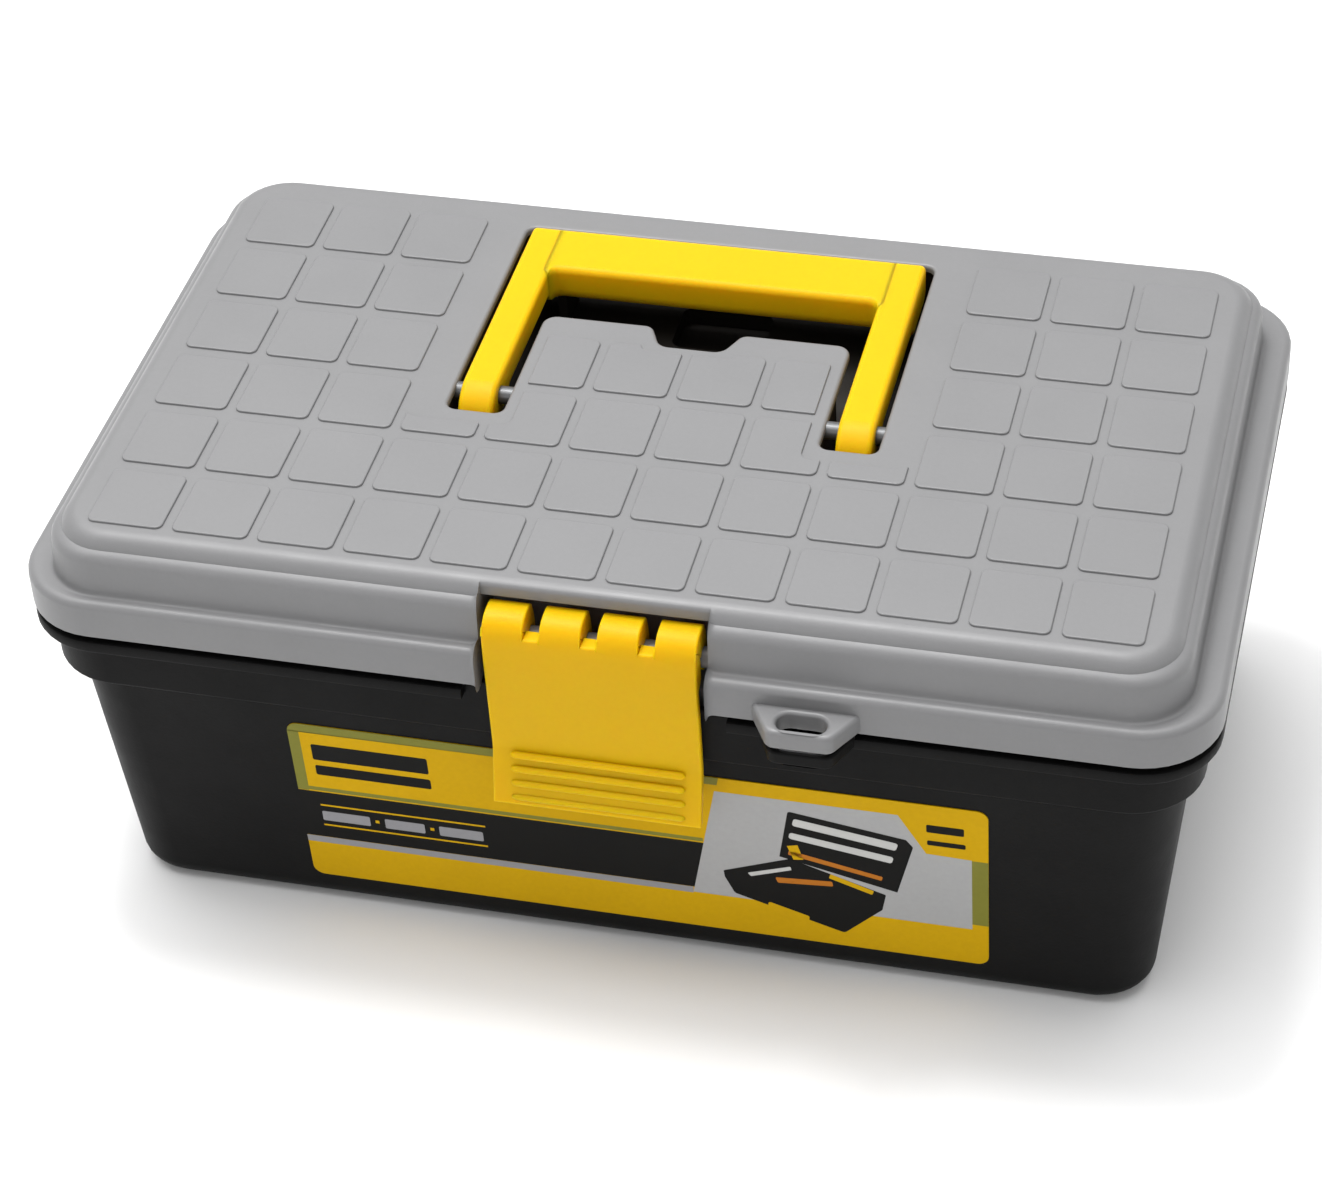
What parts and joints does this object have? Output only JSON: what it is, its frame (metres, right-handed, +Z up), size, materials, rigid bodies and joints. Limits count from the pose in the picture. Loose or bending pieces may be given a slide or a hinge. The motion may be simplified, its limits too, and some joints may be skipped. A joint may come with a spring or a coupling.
{
  "type": "toolbox with tray",
  "caption": "Portable moulded toolbox with a hinged lid, folding carry handle, front latch, padlock eye and a lift-out compartment tray.",
  "frame": {"origin": "middle of the underside of the tub, on the surface that the box stands on", "axes": "+X along the box to its right seen from the front, -Y towards the front where the latch is, +Z up"},
  "size_m": [0.4, 0.2626, 0.165],
  "materials": {
    "tub_plastic": "black moulded plastic, fine satin grain",
    "lid_plastic": "mid grey moulded plastic, fine satin grain",
    "yellow_plastic": "golden yellow moulded plastic, soft gloss",
    "tray_plastic": "dark grey moulded plastic, fine satin grain",
    "label_film": "printed film with yellow, black and grey areas",
    "steel": "zinc-plated steel",
    "dark_steel": "dark steel"
  },
  "bodies": {
    "tub": {"body_shell": "tub_plastic", "rim_lip": "tub_plastic", "padlock_lug": "tub_plastic", "hinge_pin_left": "steel", "hinge_pin_right": "steel", "front_label": "label_film"},
    "lid": {"lid_shell": "lid_plastic", "handle_well": "tub_plastic", "well_screws": "steel", "latch_rod": "lid_plastic", "handle_pin_left": "dark_steel", "handle_pin_right": "dark_steel"},
    "latch": {"front_latch": "yellow_plastic"},
    "handle": {"carry_handle": "yellow_plastic"},
    "tray": {"lift_out_tray": "tray_plastic"}
  },
  "joints": [
    {"name": "lid_hinge", "type": "hinge", "parent": "tub", "child": "lid", "pos_m": [0, 0.1255, 0.124], "axis": [-1, 0, 0], "range_deg": [0, 105]},
    {"name": "latch_pivot", "type": "hinge", "parent": "lid", "child": "latch", "pos_m": [0, -0.1095, 0.1425], "axis": [-1, 0, 0], "range_deg": [0, 110]},
    {"name": "handle_pivot", "type": "hinge", "parent": "lid", "child": "handle", "pos_m": [0, -0.006, 0.158], "axis": [1, 0, 0], "range_deg": [0, 90]},
    {"name": "tray_lift", "type": "slide", "parent": "tub", "child": "tray", "axis": [0, 0, 1], "range_m": [0, 0.008]}
  ]
}
